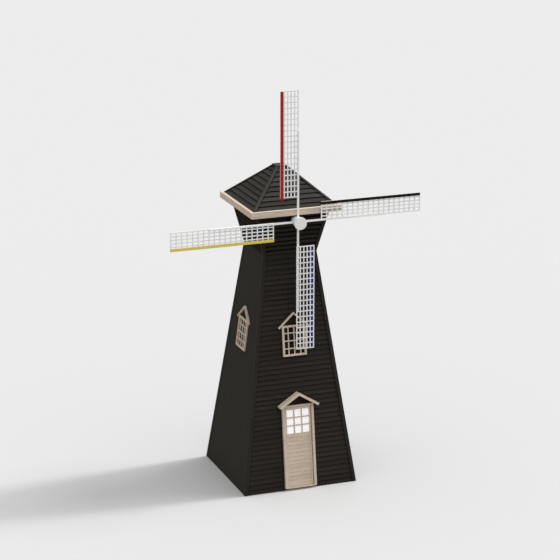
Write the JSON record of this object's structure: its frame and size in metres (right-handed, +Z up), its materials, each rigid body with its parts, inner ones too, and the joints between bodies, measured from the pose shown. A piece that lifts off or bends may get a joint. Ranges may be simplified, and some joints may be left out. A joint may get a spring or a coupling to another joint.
{
  "type": "garden windmill",
  "caption": "Ornamental garden windmill: square battered tower in black boards, flared cap with pyramid roof, lattice sails that turn, and a hinged door.",
  "frame": {"origin": "on the ground at the centre of the base frame's four anchor holes", "axes": "+Z up; -Y towards the front with the door and the rotor; +X to the right as seen from the front"},
  "size_m": [1.944, 0.9103, 3.023],
  "materials": {
    "black_wall_paint": "satin, lap boards stained near-black",
    "roof_paint": "satin charcoal",
    "black_plywood": "matt",
    "timber": "planed softwood",
    "black_joinery": "matt",
    "beige_paint": "satin",
    "muntin_paint": "satin",
    "opal_glazing": "opal sheet",
    "white_paint": "satin",
    "red_paint": "satin",
    "yellow_paint": "satin",
    "blue_paint": "satin",
    "black_gloss_paint": "satin",
    "zinc_steel": "zinc plated",
    "bronze": "oiled"
  },
  "bodies": {
    "tower": {"base_frame": "timber", "bearing_blocks": "black_joinery", "bearing_bushes": "bronze", "corner_boards": "black_wall_paint", "corner_posts": "timber", "door_canopy": "beige_paint", "door_header": "beige_paint", "door_jambs": "beige_paint", "door_pivot_pins": "zinc_steel", "door_sill": "beige_paint", "door_studs": "timber", "eaves_frame": "timber", "facing_panel_left": "black_wall_paint", "facing_panel_right": "black_wall_paint", "fascia_boards": "beige_paint", "flare_boards": "black_wall_paint", "flare_sheathing": "black_plywood", "hip_caps": "roof_paint", "hip_rafters": "timber", "lap_boards_back": "black_wall_paint", "lap_boards_front": "black_wall_paint", "middle_girts": "timber", "neck_frame": "timber", "roof_boards_back": "roof_paint", "roof_boards_front": "roof_paint", "roof_boards_left": "roof_paint", "roof_boards_right": "roof_paint", "roof_plates": "timber", "roof_sheathing": "black_plywood", "roof_top_plate": "roof_paint", "sheathing_back": "black_plywood", "sheathing_front": "black_plywood", "sheathing_left": "black_plywood", "sheathing_right": "black_plywood", "soffit_boards": "black_joinery", "window_frame_front": "beige_paint", "window_frame_left": "beige_paint", "window_frame_right": "beige_paint", "window_gables": "beige_paint"},
    "rotor": {"edge_board_bottom": "blue_paint", "edge_board_left": "yellow_paint", "edge_board_right": "black_gloss_paint", "edge_board_top": "red_paint", "hub": "white_paint", "hub_cap": "white_paint", "lattice_bottom": "white_paint", "lattice_left": "white_paint", "lattice_right": "white_paint", "lattice_top": "white_paint", "sail_screws": "zinc_steel", "shaft_collars": "zinc_steel", "shaft_nut": "zinc_steel", "stock_level": "white_paint", "stock_upright": "white_paint", "windshaft": "zinc_steel"},
    "door": {"door_glazing": "opal_glazing", "door_lap_boards": "beige_paint", "door_muntins": "muntin_paint", "door_rails": "beige_paint", "door_stiles": "beige_paint"}
  },
  "joints": [
    {"name": "rotor_spin", "type": "hinge", "parent": "tower", "child": "rotor", "pos_m": [0, -0.373, 2.052], "axis": [0, -1, 0], "continuous": true},
    {"name": "door_hinge", "type": "hinge", "parent": "tower", "child": "door", "pos_m": [0.097, -0.40918, 0.29775], "axis": [0, 0.1326, 0.9912], "range_deg": [0, 90]}
  ]
}
